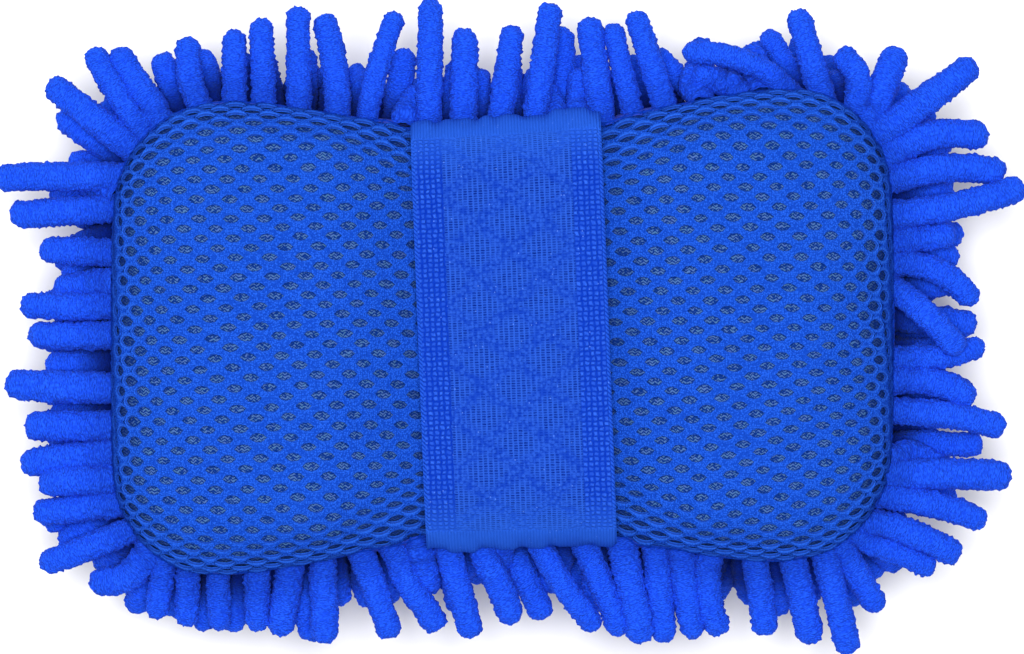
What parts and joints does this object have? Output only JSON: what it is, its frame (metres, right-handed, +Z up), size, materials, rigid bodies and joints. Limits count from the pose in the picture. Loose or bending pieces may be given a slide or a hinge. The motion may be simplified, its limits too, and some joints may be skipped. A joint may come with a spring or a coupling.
{
  "type": "wash mitt",
  "caption": "Padded wash mitt: foam pad with an open mesh upper face, chenille fingers on its sides and base, and a wide elastic hand strap across it.",
  "frame": {"origin": "under the middle of the pad, on the surface that its base fingers rest on", "axes": "+X along the pad's long axis, +Y towards the pad's back edge (the upper edge in the picture), +Z up through the mesh face and the strap"},
  "size_m": [0.2626, 0.1688, 0.0721],
  "materials": {
    "foam": "matte open-cell foam",
    "padding": "matte knitted spacer cloth",
    "mesh": "matte polyester knit with eyelets",
    "backing": "matte woven backing cloth",
    "thread": "sewing thread",
    "elastic": "jacquard woven elastic",
    "chenille": "microfibre terry pile"
  },
  "bodies": {
    "pad": {"chenille_backing_cloth": "backing", "fingers_base_row_1": "chenille", "fingers_base_row_2": "chenille", "fingers_base_row_3": "chenille", "fingers_base_row_4": "chenille", "fingers_base_row_5": "chenille", "fingers_base_row_6": "chenille", "fingers_base_row_7": "chenille", "fingers_base_row_8": "chenille", "fingers_base_row_9": "chenille", "fingers_edge_back": "chenille", "fingers_edge_front": "chenille", "fingers_edge_left": "chenille", "fingers_edge_right": "chenille", "fingers_lower_back": "chenille", "fingers_lower_front": "chenille", "fingers_lower_left": "chenille", "fingers_lower_right": "chenille", "fingers_middle_back": "chenille", "fingers_middle_front": "chenille", "fingers_middle_left": "chenille", "fingers_middle_right": "chenille", "fingers_rim_back": "chenille", "fingers_rim_front": "chenille", "fingers_rim_left": "chenille", "fingers_rim_right": "chenille", "fingers_upper_back": "chenille", "fingers_upper_front": "chenille", "fingers_upper_left": "chenille", "fingers_upper_right": "chenille", "foam_core": "foam", "mesh_cover": "mesh", "padding_layer": "padding", "rim_seam": "thread", "strap_end_back": "elastic", "strap_end_front": "elastic", "strap_side_back": "elastic", "strap_side_front": "elastic"},
    "strap": {"strap_band": "elastic"}
  },
  "joints": [
    {"name": "strap_lift", "type": "slide", "parent": "pad", "child": "strap", "axis": [0, 0, 1], "range_m": [0, 0.025], "stiffness_N_per_m": 250, "deforming": ["strap_side_front", "strap_side_back"]}
  ]
}
